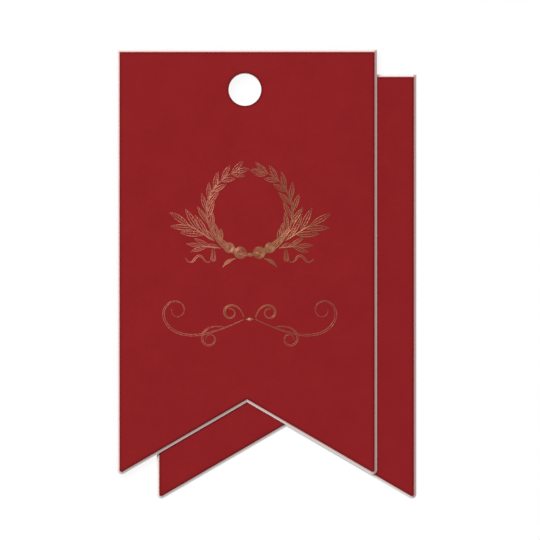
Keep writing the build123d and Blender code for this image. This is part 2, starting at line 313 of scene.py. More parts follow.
class ScrollSizes(bpy.types.PropertyGroup):
    """Pen scroll"""

    hair_width: length_property("Hairline", "Width of a stroke at its ends", 0.14)
    line_width: length_property("Line width", "Greatest width of the two lines of a stroke", 0.14)
    inside: length_property("Inside", "Scroll's middle to where its strokes start", 1.19)
    long_length: length_property("Long stroke", "Length of the long stroke and its curl", 31.0)
    long_swell: length_property("Long swell", "What the long stroke gains half way", 0.34)
    long_heading: angle_property("Long heading", "Rise of the long stroke where it starts", -26)
    long_rise: angle_property("Long rise", "Even turn of the long stroke", 30)
    long_turn: angle_property("Long turn", "Turn of the curl at its end", 470)
    long_power: number_property("Long power", "How late the long stroke curls", 3.4)
    low_length: length_property("Low curl", "Length of the lower curl", 13.5)
    low_swell: length_property("Low swell", "What the lower curl gains half way", 0.26)
    low_out: length_property("Low out", "Scroll's middle to the lower curl's start", 5.2)
    low_drop: length_property("Low drop", "How far the lower curl starts below the middle", 1.62)
    low_heading: angle_property("Low heading", "Rise of the lower curl where it starts", 8)
    low_turn: angle_property("Low turn", "Turn of the lower curl", -470)
    low_power: number_property("Low power", "How late the lower curl turns", 1.9)
    top_length: length_property("Top curl", "Length of the upper curl", 11.5)
    top_swell: length_property("Top swell", "What the upper curl gains half way", 0.24)
    top_height: length_property("Top height", "How far the upper curl starts above the middle", 0.35)
    top_heading: angle_property("Top heading", "Rise of the upper curl where it starts", 72)
    top_turn: angle_property("Top turn", "Turn of the upper curl", -460)
    top_power: number_property("Top power", "How late the upper curl turns", 1.7)
    lozenge_length: length_property("Lozenge length", "Length of the lozenge in the middle", 1.8)
    lozenge_width: length_property("Lozenge width", "Width of the lozenge in the middle", 0.8)


class StageLook(bpy.types.PropertyGroup):
    """Table, light and camera"""

    table_size: length_property("Table", "Side of the square table", 3000)
    table_drop: length_property("Table drop", "Gap between the tag's underside and the table", 0.02)
    table_grey: share_property("Table grey", "Share of the light that the table sends back", 0.82)
    table_glow: number_property("Table glow", "Light of the table where it takes no shadow", 1.01)
    table_plain: share_property("Table plain", "Share of the table's look that takes no shadow", 0.89)
    sky: share_property("Sky light", "Share of the light that comes from all round", 0.42)
    lamp: share_property("Lamp light", "Share of the light that comes from the soft lamp", 0.58)
    lamp_tilt: angle_property("Lamp tilt", "Turn of the lamp from straight overhead", 38)
    lamp_distance: length_property("Lamp distance", "Tag to lamp", 1600)
    lamp_size: length_property("Lamp size", "Side of the square lamp", 800)
    view_width: length_property("View width", "Width of card that fills the picture", 112.02)
    view_right: length_property("View right", "Picture's middle, right of the hole", 5.21)
    view_down: length_property("View down", "Picture's middle, below the hole", 37.467)
    lens: bpy.props.FloatProperty(
        name="Lens", description="Focal length in millimetres", default=200, unit="CAMERA"
    )


LOOKS = (
    ("gift_tag_card", CardLook),
    ("gift_tag_foil", FoilLook),
    ("gift_tag_branch", BranchSizes),
    ("gift_tag_side_spray", SideSpraySizes),
    ("gift_tag_lower_spray", LowerSpraySizes),
    ("gift_tag_bow", BowSizes),
    ("gift_tag_streamer", StreamerSizes),
    ("gift_tag_scroll", ScrollSizes),
    ("gift_tag_stage", StageLook),
)


def operation(name, reflected=False):
    """A method of Term that adds the Math node of one operation."""

    def method(term, *others):
        return term.math(name, *others, reflected=reflected)

    return method


class Term:
    """A number in a node tree that joins in arithmetic: each operation adds a Math node."""

    def __init__(self, tree, socket):
        self.tree = tree
        self.socket = socket

    def math(self, name, *others, reflected=False):
        """Adds the Math node of one operation and returns its result."""
        made = self.tree.nodes.new("ShaderNodeMath")
        made.operation = name
        terms = [self, *others]
        if reflected:
            terms.reverse()
        for socket, term in zip(made.inputs, terms):
            if isinstance(term, Term):
                self.tree.links.new(term.socket, socket)
            else:
                socket.default_value = term
        return Term(self.tree, made.outputs[0])

    __add__ = operation("ADD")
    __radd__ = operation("ADD", reflected=True)
    __sub__ = operation("SUBTRACT")
    __rsub__ = operation("SUBTRACT", reflected=True)
    __mul__ = operation("MULTIPLY")
    __rmul__ = operation("MULTIPLY", reflected=True)
    __truediv__ = operation("DIVIDE")
    __rtruediv__ = operation("DIVIDE", reflected=True)
    __pow__ = operation("POWER")
    __abs__ = operation("ABSOLUTE")
    least = operation("MINIMUM")
    most = operation("MAXIMUM")

    def held(self):
        """The number kept between nothing and one."""
        return self.most(0).least(1)


class Nodes:
    """A node tree, and one method that adds any node to it."""

    def __init__(self, tree):
        self.tree = tree

    def add(self, kind, sockets=None, **settings):
        """Adds a node, makes its settings, then fills its sockets by identifier or name."""
        made = self.tree.nodes.new(kind)
        for key, value in settings.items():
            setattr(made, key, value)
        for key, value in (sockets or {}).items():
            self.fill(made, key, value)
        return made

    def fill(self, node, key, value):
        """Links a socket to a number, a result or a node's first result, or writes a value on it."""
        socket = find_socket(node.inputs, key)
        if isinstance(value, Term):
            value = value.socket
        if isinstance(value, bpy.types.Node):
            value = value.outputs[0]
        if isinstance(value, bpy.types.NodeSocket):
            self.tree.links.new(value, socket)
        else:
            socket.default_value = value

    def term(self, node, key):
        """One of a node's results, ready for arithmetic."""
        return Term(self.tree, find_socket(node.outputs, key))

    def blend(self, factor, first, second):
        """A colour between two colours."""
        sockets = {"Factor_Float": factor, "A_Color": first, "B_Color": second}
        mix = self.add("ShaderNodeMix", sockets, data_type="RGBA")
        return find_socket(mix.outputs, "Result_Color")


def find_socket(sockets, key):
    """A socket by its identifier, or else by its name."""
    for socket in sockets:
        if socket.identifier == key:
            return socket
    for socket in sockets:
        if socket.name == key:
            return socket
    raise RuntimeError(f"there is no socket called {key}")


def opaque(linear_colour):
    """A colour as a colour socket takes it."""
    return (*linear_colour, 1.0)


class Finish(Nodes):
    """A surface finish: a material whose patterns are measured in millimetres on the piece."""

    def __init__(self, name):
        self.material = bpy.data.materials.new(name)
        self.material.use_nodes = True
        super().__init__(self.material.node_tree)
        self.tree.nodes.clear()
        metres = self.add("ShaderNodeTexCoord").outputs["Object"]
        self.place = self.stretched(metres, (1 / MM, 1 / MM, 1 / MM))
        parts = self.add("ShaderNodeSeparateXYZ", {"Vector": self.place})
        self.x = self.term(parts, "X")
        self.y = self.term(parts, "Y")
        self.z = self.term(parts, "Z")

    def stretched(self, vector, scale, turn=0.0):
        """A pattern's coordinates, turned on the card and stretched."""
        sockets = {"Vector": vector, "Rotation": (0, 0, turn), "Scale": scale}
        return self.add("ShaderNodeMapping", sockets)

    def cloud(self, size, detail=2.0, roughness=0.5, place=None):
        """Soft random patches of a size in metres, from nothing to one."""
        sockets = {
            "Vector": place or self.place,
            "Scale": MM / size,
            "Detail": detail,
            "Roughness": roughness,
        }
        return self.term(self.add("ShaderNodeTexNoise", sockets), "Fac")

    def surface(self, sockets, height, depth):
        """Ends the tree in one shader on a bumped surface, and returns the material."""
        bump = self.add("ShaderNodeBump", {"Height": height, "Distance": depth, "Strength": 1.0})
        shader = self.add("ShaderNodeBsdfPrincipled", {**sockets, "Normal": bump})
        self.add("ShaderNodeOutputMaterial", {"Surface": shader})
        return self.material


def cut_edge(finish, look, core_node):
    """Millimetres from a place on a leaf to the lower rim of its face paper at the nearest cut."""
    front_low, front_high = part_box("front_core_board")
    low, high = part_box(core_node)
    middle = (low.x + high.x) / 2 / MM
    half_width = (high.x - low.x) / 2 / MM
    top = (low.y + front_high.y - front_low.y) / MM
    slope = look.notch_depth / MM / half_width
    notch = top - (look.leaf_length - look.notch_depth) / MM
    across = abs(finish.x - middle)
    to_side = half_width - across
    to_top = top - finish.y
    to_notch = (finish.y - notch + across * slope) * cos(atan(slope))
    from_hole = (finish.x * finish.x + finish.y * finish.y) ** 0.5
    on_leaf = to_side.least(to_top).least(to_notch)
    on_ear = look.ear_radius / MM - from_hole
    rim = on_leaf.most(on_ear) - look.paper_rim / MM
    return rim.least(from_hole - look.hole_radius / MM)


def red_paper(name, look, core_node):
    """Uncoated red cover paper: mottle, grain and fibres, darker along its cuts as painted shade, and
    pressed down there.
    """
    finish = Finish(name)
    edge_shade_and_press = (1 - cut_edge(finish, look, core_node) / (look.edge_band_width / MM)).held()
    mottle = finish.cloud(look.mottle_size, detail=3.0)
    patch = finish.cloud(look.mottle_size / 5)
    grain = finish.cloud(look.grain_size, detail=3.0, roughness=0.6)
    fibre_turns = (0.35, 1.45, 2.50)
    fibre_slimness = 14
    fibre_sharpness = 16
    fibres = 0.0
    for turn in fibre_turns:
        lie = finish.stretched(finish.place, (1, fibre_slimness, 1), turn)
        strand = finish.cloud(look.fibre_length, detail=1.0, place=lie)
        fibres = (1 - abs(strand - 0.5) * fibre_sharpness).held().most(fibres)
    tone = (mottle * 1.5 + patch * 0.7 + grain * 0.7 + fibres * 0.25 - 1.0).held()
    red = finish.blend(tone, opaque(look.red_deep), opaque(look.red_clear))
    # Painted shade: a darker band along every cut stands in for the shaded cut edge; the bump below
    # presses it down
    pressed = [channel * (1 - look.edge_shade_share) for channel in look.red_deep]
    red = finish.blend(edge_shade_and_press ** 2, red, opaque(pressed))
    return finish.surface(
        {
            "Base Color": red,
            "Roughness": look.paper_rough + grain * 0.14,
            "Specular IOR Level": look.shine,
        },
        grain * 0.7 + fibres * 0.3 + patch * 0.4 - edge_shade_and_press * 0.5,
        look.grain_depth,
    )


def white_core(name, look, core_node, stain_depth):
    """Cut board: fine layers along the card, and red drawn down over it, most at its right edge, where
    the extra red is painted shade.
    """
    finish = Finish(name)
    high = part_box(core_node)[1]
    rims_wide = 1.25
    sharpness = 4
    # Painted shade: the red runs deeper down the board along the right edges, which face away from the
    # lamp
    right = (((finish.x * MM - high.x) / look.paper_rim + rims_wide) * sharpness).held()
    depth = stain_depth + right * (look.right_shade_depth - stain_depth)
    stain = (1 - (high.z - finish.z * MM) / depth).held()
    layer_run = 0.04
    lie = finish.stretched(finish.place, (layer_run, layer_run, 1))
    layer = finish.cloud(look.layer_height, detail=2.0, place=lie)
    fluff = finish.cloud(look.grain_size / 2, detail=3.0, roughness=0.65)
    tone = (layer * 1.2 + fluff * 0.8 - 0.5).held()
    white = finish.blend(tone, opaque(look.core_shade), opaque(look.core_white))
    white = finish.blend(stain * (0.5 + fluff * 0.8), white, opaque(look.core_stain))
    return finish.surface(
        {
            "Base Color": white,
            "Roughness": look.board_rough + fluff * 0.08,
            "Specular IOR Level": look.shine,
        },
        fluff * 0.6 + layer * 0.4,
        look.grain_depth * 2,
    )


def bronze_foil(name, look):
    """Hot-stamped foil: rose bronze that turns olive, by slow drift and by painted shade to the lower
    right and at the knot; finely broken, and more so far from the bow.
    """
    finish = Finish(name)
    drift = finish.cloud(look.drift_size)
    flake = finish.cloud(look.flake_size, detail=3.0, roughness=0.6)
    grain = finish.cloud(look.flake_size * 2)
    aside = finish.x * MM - KNOT_CENTRE.x
    above = finish.y * MM - KNOT_CENTRE.y
    reach = (aside * aside + above * above) ** 0.5
    shaded = (1 - reach / look.bow_reach).held() * look.bow_shade
    # Painted shade: the foil turns from lit rose to shaded olive towards the lower right, away from the
    # lamp, and near the knot
    painted_light_falloff = aside / look.shade_run_right - above / look.shade_run_down
    all_rose = 0.47
    turned = (drift * 2.0 + painted_light_falloff + shaded - all_rose).held()
    bronze = finish.blend(turned, opaque(look.rose), opaque(look.olive))
    worn = ((reach - look.worn_from) / (look.worn_to - look.worn_from)).held() * look.worn_share
    unbroken = 0.64
    break_sharpness = 8
    most_broken = 0.85
    broken = ((flake + worn - unbroken) * break_sharpness).held() * most_broken
    return finish.surface(
        {
            "Base Color": finish.blend(broken, bronze, opaque(look.bare)),
            "Metallic": 1 - broken,
            "Roughness": look.roughness + grain * 0.12 + broken * 0.3,
        },
        grain * 0.6 + flake * 0.4,
        look.crinkle_depth,
    )


def new_tree(name, sizes):
    """A geometry tree with its named inputs, and the node that reads them."""
    tree = bpy.data.node_groups.new(name, "GeometryNodeTree")
    tree.interface.new_socket("Geometry", in_out="INPUT", socket_type="NodeSocketGeometry")
    tree.interface.new_socket("Geometry", in_out="OUTPUT", socket_type="NodeSocketGeometry")
    for key, kind in sizes:
        tree.interface.new_socket(key, in_out="INPUT", socket_type=f"NodeSocket{kind}")
    nodes = Nodes(tree)
    return nodes, nodes.add("NodeGroupInput")


def end_tree(nodes, geometry, material):
    """Ends a geometry tree: its instances are made real and given their finish."""
    real = nodes.add("GeometryNodeRealizeInstances", {"Geometry": geometry})
    dressed = nodes.add("GeometryNodeSetMaterial", {"Geometry": real, "Material": material})
    nodes.add("NodeGroupOutput", {"Geometry": dressed})
    return nodes.tree


def pen_tree(name):
    """Raises each run of edges to one foil stroke, thin at its ends and widest half way."""
    sizes = (("Hair width", "Float"), ("Swell", "Float"), ("Height", "Float"), ("Foil", "Material"))
    nodes, given = new_tree(name, sizes)
    run = nodes.add("GeometryNodeMeshToCurve", {"Mesh": given.outputs["Geometry"]})
    along = nodes.term(nodes.add("GeometryNodeSplineParameter"), "Factor")
    swelling = (along * pi).math("SINE") ** 2
    half_width = (nodes.term(given, "Hair width") + nodes.term(given, "Swell") * swelling) / 2
    nib = nodes.add("GeometryNodeCurvePrimitiveLine", {"Start": (-1, 0, 0), "End": (1, 0, 0)})
    swept = {"Curve": run, "Profile Curve": nib, "Scale": half_width}
    flat = nodes.add("GeometryNodeCurveToMesh", swept)
    upward = {"Offset": (0, 0, 1), "Offset Scale": given.outputs["Height"], "Individual": False}
    raised = nodes.add("GeometryNodeExtrudeMesh", {"Mesh": flat, **upward})
    under = nodes.add("GeometryNodeFlipFaces", {"Mesh": flat})
    both = nodes.add("GeometryNodeJoinGeometry", {"Geometry": raised})
    nodes.fill(both, "Geometry", under)
    seam = 0.0001 * MM
    closed = nodes.add("GeometryNodeMergeByDistance", {"Geometry": both, "Distance": seam})
    return end_tree(nodes, closed, given.outputs["Foil"])


def sprig_tree(name):
    """Sets leaves at even steps along a stem, each turned from it and sized by its place."""
    sizes = (
        ("Leaf", "Object"),
        ("Leaf count", "Int"),
        ("First share", "Float"),
        ("Last share", "Float"),
        ("Lean", "Float"),
        ("Low scale", "Float"),
        ("High scale", "Float"),
        ("Width scale", "Float"),
        ("Height scale", "Float"),
        ("Leaf turn", "Float"),
        ("Leaf growth", "Float"),
        ("Seed", "Int"),
        ("Foil", "Material"),
    )
    nodes, given = new_tree(name, sizes)
    stem = nodes.add("GeometryNodeMeshToCurve", {"Mesh": given.outputs["Geometry"]})
    leaf = nodes.add("GeometryNodeObjectInfo", {"Object": given.outputs["Leaf"]})
    index = nodes.term(nodes.add("GeometryNodeInputIndex"), "Index")
    steps = (nodes.term(given, "Leaf count") - 1).most(1)
    first = nodes.term(given, "First share")
    along = first + (nodes.term(given, "Last share") - first) * index / steps
    sample = nodes.add(
        "GeometryNodeSampleCurve", {"Curves": stem, "Factor": along}, mode="FACTOR", use_all_curves=True
    )
    spots = {"Count": given.outputs["Leaf count"], "Position": sample.outputs["Position"]}
    feet = nodes.add("GeometryNodePoints", spots)
    straight = nodes.add(
        "FunctionNodeAxesToRotation",
        {"Primary Axis": (0, 0, 1), "Secondary Axis": sample.outputs["Tangent"]},
        primary_axis="Z",
        secondary_axis="X",
    )
    limits = {"Min_001": -1.0, "Max_001": 1.0, "Seed": given.outputs["Seed"]}
    chance = nodes.add("FunctionNodeRandomValue", limits, data_type="FLOAT")
    stray = nodes.term(chance, "Value_001")
    turn = nodes.term(given, "Lean") + nodes.term(given, "Leaf turn") * stray
    lean = nodes.add("FunctionNodeAxisAngleToRotation", {"Axis": (0, 0, 1), "Angle": turn})
    turned = nodes.add(
        "FunctionNodeRotateRotation", {"Rotation": straight, "Rotate By": lean}, rotation_space="LOCAL"
    )
    low = nodes.term(given, "Low scale")
    length = low + (nodes.term(given, "High scale") - low) * along
    sides = {
        "X": length * (1 + nodes.term(given, "Leaf growth") * stray),
        "Y": given.outputs["Width scale"],
        "Z": nodes.term(given, "Height scale") - index * LEAF_STEP,
    }
    scale = nodes.add("ShaderNodeCombineXYZ", sides)
    placed = {"Points": feet, "Instance": leaf.outputs["Geometry"], "Rotation": turned, "Scale": scale}
    leaves = nodes.add("GeometryNodeInstanceOnPoints", placed)
    return end_tree(nodes, leaves, given.outputs["Foil"])


def grown(paths, tree_name, make_tree, values):
    """Runs a geometry tree on paths of points and returns what it makes as a plain mesh."""
    tree = bpy.data.node_groups.get(tree_name) or make_tree(tree_name)
    points = []
    edges = []
    for path in paths:
        first = len(points)
        points.extend(path)
        edges.extend((first + step, first + step + 1) for step in range(len(path) - 1))
    skeleton = bpy.data.meshes.new(tree_name)
    skeleton.from_pydata(points, edges, [])
    host = bpy.data.objects.new(tree_name, skeleton)
    bpy.context.scene.collection.objects.link(host)
    modifier = host.modifiers.new(tree_name, "NODES")
    modifier.node_group = tree
    for item in tree.interface.items_tree:
        if item.name in values:
            modifier[item.identifier] = values[item.name]
    graph = bpy.context.evaluated_depsgraph_get()
    made = bpy.data.meshes.new_from_object(host.evaluated_get(graph))
    host.modifiers.remove(modifier)
    bpy.data.objects.remove(host)
    bpy.data.meshes.remove(skeleton)
    if not made.polygons:
        raise RuntimeError(f"{tree_name} made nothing")
    return made


def foil_finish():
    """The foil's material, made once."""
    name = "stamped_bronze"
    return bpy.data.materials.get(name) or bronze_foil(name, bpy.context.scene.gift_tag_foil)


def ink(paths, greatest, hair=None, layer=0):
    """Strokes along paths. A higher layer lies a little lower, so that crossings stay clean."""
    hair = bpy.context.scene.gift_tag_foil.hair_width if hair is None else hair
    values = {
        "Hair width": hair,
        "Swell": greatest - hair,
        "Height": FOIL_HEIGHT * (1 - STROKE_STEP * layer),
        "Foil": foil_finish(),
    }
    return grown(paths, "Pen stroke", pen_tree, values)


def leaf_row(stem, leaf, shares, lean, lengths, width, row):
    """A row of leaves along a stem, from the first to the last of their shares of its length."""
    look = bpy.context.scene.gift_tag_foil
    values = {
        "Leaf": leaf,
        "Leaf count": len(shares),
        "First share": shares[0],
        "Last share": shares[-1],
        "Lean": lean,
        "Low scale": lengths[0] / look.leaf_length,
        "High scale": lengths[1] / look.leaf_length,
        "Width scale": width / look.leaf_width,
        "Height scale": 1 - ROW_STEP * row,
        "Leaf turn": look.leaf_turn,
        "Leaf growth": look.leaf_growth,
        "Seed": row,
        "Foil": foil_finish(),
    }
    return grown([stem], "Leaves on a stem", sprig_tree, values)


def joined(name, meshes):
    """One mesh that holds several."""
    whole = bmesh.new()
    for mesh in meshes:
        whole.from_mesh(mesh)
    mesh = bpy.data.meshes.new(name)
    whole.to_mesh(mesh)
    whole.free()
    return mesh


def stamp(name, meshes):
    """Joins meshes to one piece of stamping that stands for the foil solid of its name."""
    mesh = joined(name, meshes)
    mesh.materials.append(foil_finish())
    piece = bpy.data.objects.new(f"{name}_stamping", mesh)
    bpy.context.scene.collection.objects.link(piece)
    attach(piece, "front_leaf")
    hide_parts(f"{name}_foil")


def toward(heading):
    """The unit step along a heading."""
    return Vector((cos(heading), sin(heading), 0))


def on_side(side, path, centre):
    """A path drawn for the right of a centre, set on one side of it on the foil's plane."""
    return [Vector((centre.x + side * spot.x, centre.y + spot.y, FOIL_BASE)) for spot in path]


def on_ring(branch, turn, radius):
    """A point up the right side of the wreath, from its foot, about the knot's centre."""
    rise = branch.ring_radius - branch.knot_inside
    return Vector((radius * sin(turn), rise - radius * cos(turn), 0))


def evenly(first, last, steps):
    """Numbers at even steps, both ends too."""
    return [first + (last - first) * step / steps for step in range(steps + 1)]


def arc(centre, radius, first, last, steps):
    """Points on an arc between two headings."""
    return [centre + toward(heading) * radius for heading in evenly(first, last, steps)]


def pen_path(start, heading, length, steps):
    """Points of a line that turns as heading(share) says."""
    path = [start]
    for step in range(steps):
        path.append(path[-1] + toward(heading((step + 0.5) / steps)) * (length / steps))
    return path


def ribbon_lines(path, end_width, width, lines):
    """Lines along a ribbon that is widest half way, spread from one of its edges to the other."""
    last = len(path) - 1
    edge = 0.4
    spread = []
    for offset in evenly(-edge, edge, lines - 1):
        line = []
        for step, spot in enumerate(path):
            ahead = path[min(step + 1, last)] - path[max(step - 1, 0)]
            aside = Vector((-ahead.y, ahead.x, 0)).normalized()
            breadth = end_width + (width - end_width) * sin(pi * step / last) ** 2
            line.append(spot + aside * (offset * breadth))
        spread.append(line)
    return spread


def drop_line(foot, heading, neck, foot_radius, end_radius):
    """A line from the foot of a drop, round its large end and back almost to where it started."""
    low = foot + toward(heading) * foot_radius
    high = foot + toward(heading) * (neck + end_radius)
    spread = acos((foot_radius - end_radius) / (neck + end_radius - foot_radius))
    open_foot = pi * 0.94
    return (
        arc(low, foot_radius, heading + open_foot, heading + spread, steps=6)
        + arc(high, end_radius, heading + spread, heading - spread, steps=36)
        + arc(low, foot_radius, heading - spread, heading - open_foot, steps=6)
    )


def loop_lines(bow, foot, heading, neck, end_radius, band, lines, creases=0):
    """Lines round a loop of ribbon, from its outer edge in to its eye, and creases across the eye."""
    foot_width = 2 * bow.foot_radius
    edge = 0.13
    crease_turn = 1.1
    spread = []
    for inward in evenly(edge, 1 - edge, lines - 1):
        spread.append(
            drop_line(
                foot + toward(heading) * (foot_width * inward),
                heading,
                neck + (band - foot_width) * inward,
                bow.foot_radius + (bow.eye_foot_radius - bow.foot_radius) * inward,
                end_radius - band * inward,
            )
        )
    eye_foot = foot + toward(heading) * foot_width
    eye_middle = foot + toward(heading) * (neck + end_radius)
    for turn in evenly(-crease_turn, crease_turn, creases - 1):
        crease = eye_middle + toward(heading + turn) * (end_radius - band) - eye_foot
        spread.append([eye_foot + crease * share for share in evenly(0, 1, steps=8)])
    return spread


def ribbon(side, lines, width, centre=KNOT_CENTRE):
    """Strokes along lines on one side of a centre, each a little lower than the last."""
    return [ink([on_side(side, line, centre)], width, layer=layer) for layer, line in enumerate(lines)]


def spray_foot(branch, spray):
    """The foot of the right spray, outside the ring."""
    return on_ring(branch, spray.ring_angle, branch.ring_radius + spray.off_ring)


def pattern_leaf(hatch_count):
    """One laurel leaf that lies along X: its outline, its midrib and the hatching on both halves."""
    look = bpy.context.scene.gift_tag_foil
    long = look.leaf_length
    half = look.leaf_width / 2
    radius = (long * long / 4 + half * half) / (2 * half)

    def rim(reach):
        """Half the leaf's width at a reach from its foot."""
        return sqrt(radius * radius - (reach - long / 2) ** 2) - radius + half

    upper = [Vector((reach, rim(reach), 0)) for reach in evenly(0, long, steps=14)]
    lower = [Vector((spot.x, -spot.y, 0)) for spot in upper]
    rib_length = long * 0.90
    midrib = [Vector((reach, 0, 0)) for reach in evenly(0, rib_length, steps=6)]
    first_hatch = long * 0.08
    last_hatch = long * 0.80
    hatch_bend = long * 0.05
    hatch_reach = long * 0.12
    shade = []
    light = []
    for start in evenly(first_hatch, last_hatch, hatch_count - 1):
        bend = start + hatch_bend
        end = start + hatch_reach
        foot = Vector((start, 0, 0))
        shade.append([foot, Vector((bend, -rim(end) / 2, 0)), Vector((end, -rim(end), 0))])
        light.append([Vector((bend, rim(end) / 2, 0)), Vector((end, rim(end), 0))])
    meshes = [
        ink([upper], look.outline_width, layer=1),
        ink([lower], look.outline_width, layer=2),
        ink([midrib], look.rib_width, layer=3),
        ink(shade, look.hatch_width, look.hatch_width * 0.7, layer=4),
        ink(light, look.hatch_width * 0.8, look.hatch_width * 0.5, layer=5),
    ]
    leaf = bpy.data.objects.new("pattern_leaf", joined("pattern_leaf", meshes))
    bpy.context.scene.collection.objects.link(leaf)
    return leaf


class GIFT_TAG_OT_card(bpy.types.Operator):
    """Give the papers and boards of both leaves their finishes"""

    bl_idname = "gift_tag.card"
    bl_label = "Finish the card"

    def execute(self, context):
        look = context.scene.gift_tag_card
        for leaf, stain_depth in (("front", look.front_stain), ("rear", look.rear_stain)):
            red = red_paper(f"{leaf}_red_paper", look, f"{leaf}_core_board")
            white = white_core(f"{leaf}_white_core", look, f"{leaf}_core_board", stain_depth)
            for ply, finish in (("face_paper", red), ("core_board", white), ("back_paper", red)):
                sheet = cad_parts[f"{leaf}_{ply}"].data
                sheet.materials.clear()
                sheet.materials.append(finish)
        return {"FINISHED"}


class GIFT_TAG_OT_branches(bpy.types.Operator):
    """Stamp the wreath's two branches: stems, their leaves and the strands that run on to the knot"""

    bl_idname = "gift_tag.branches"
    bl_label = "Stamp the branches"

    def execute(self, context):
        branch = context.scene.gift_tag_branch
        turns = evenly(branch.start, branch.end, steps=48)
        ring = [on_ring(branch, turn, branch.ring_radius) for turn in turns]
        strands = self.strands(branch)
        leaf = pattern_leaf(context.scene.gift_tag_foil.hatch_count)
        for name, side in SIDES:
            stem = on_side(side, ring, KNOT_CENTRE)
            grooved = ribbon_lines(stem, branch.stem_width / 2, branch.stem_width, 2)
            meshes = [ink(grooved, branch.groove_line)]
            for place, strand in enumerate(strands):
                run = on_side(side, strand, KNOT_CENTRE)
                layer = BELOW_LEAVES + place
                meshes.append(ink([run], branch.strand_width, branch.strand_width / 2, layer))
            for row, (shares, lean, lengths) in enumerate(self.rows(branch)):
                lean = side * lean
                meshes.append(leaf_row(stem, leaf, shares, lean, lengths, branch.leaf_width, row))
            stamp(f"{name}_branch", meshes)
        bpy.data.objects.remove(leaf)
        return {"FINISHED"}

    def strands(self, branch):
        """Thin stems that run side by side from the knot through the bow and into the main stem."""
        path = pen_path(
            Vector((branch.strand_inside, 0, 0)),
            lambda share: branch.strand_heading + branch.strand_bend * share,
            branch.strand_length,
            steps=40,
        )
        return ribbon_lines(path, branch.strand_ends, branch.strand_spread, branch.strand_count)

    def rows(self, branch):
        """The leaves inside the ring, those outside it, and one at each end of the branch."""
        inner = self.shares(branch, branch.inner_start, branch.inner_count)
        outer = self.shares(branch, branch.outer_start, branch.outer_count)
        seat = 1 - branch.stem_width / (branch.ring_radius * (branch.end - branch.start))
        return (
            (inner, branch.inner_lean, (branch.inner_low, branch.inner_high)),
            (outer, branch.outer_lean, (branch.outer_low, branch.outer_high)),
            ([1 - seat], branch.foot_lean, (branch.foot_length, branch.foot_length)),
            ([seat], branch.end_lean, (branch.end_length, branch.end_length)),
        )

    def shares(self, branch, start, leaf_count):
        """The places of a row of leaves, as shares of the branch's length."""
        turns = evenly(start, branch.leaf_end, leaf_count - 1)
        return [(turn - branch.start) / (branch.end - branch.start) for turn in turns]


class GIFT_TAG_OT_sprays(bpy.types.Operator):
    """Stamp the side sprays and the smaller sprays below them"""

    bl_idname = "gift_tag.sprays"
    bl_label = "Stamp the sprays"

    def execute(self, context):
        scene = context.scene
        branch = scene.gift_tag_branch
        stem_width = branch.stem_width * 0.8
        for kind, spray in (("side", scene.gift_tag_side_spray), ("lower", scene.gift_tag_lower_spray)):
            leaf = pattern_leaf(spray.hatch_count)
            foot = spray_foot(branch, spray)
            reaches = evenly(0, spray.stem_length, steps=8)
            run = [foot + toward(spray.heading) * reach for reach in reaches]
            for name, side in SIDES:
                stem = on_side(side, run, KNOT_CENTRE)
                meshes = [ink([stem], stem_width, branch.stem_width / 2)]
                for row, (sign, shares, size) in enumerate(self.rows(spray)):
                    lean = side * sign * spray.lean
                    lengths = [spray.leaf_length * size] * 2
                    meshes.append(leaf_row(stem, leaf, shares, lean, lengths, spray.leaf_width, row))
                stamp(f"{name}_{kind}_spray", meshes)
            bpy.data.objects.remove(leaf)
        return {"FINISHED"}

    def rows(self, spray):
        """The leaves left of a stem, those right of it, the one at its end and one at its foot."""
        bare = spray.bare_length / spray.stem_length
        foot_lean = 0.6
        places = range(spray.leaf_count)
        shares = [bare + (1 - bare) * (place + 0.5) / spray.leaf_count for place in places]
        return (
            (1, shares[0:-1:2], 1),
            (-1, shares[1:-1:2], 1),
            (0, shares[-1:], 1),
            (foot_lean, [bare / 4], spray.foot_share),
        )


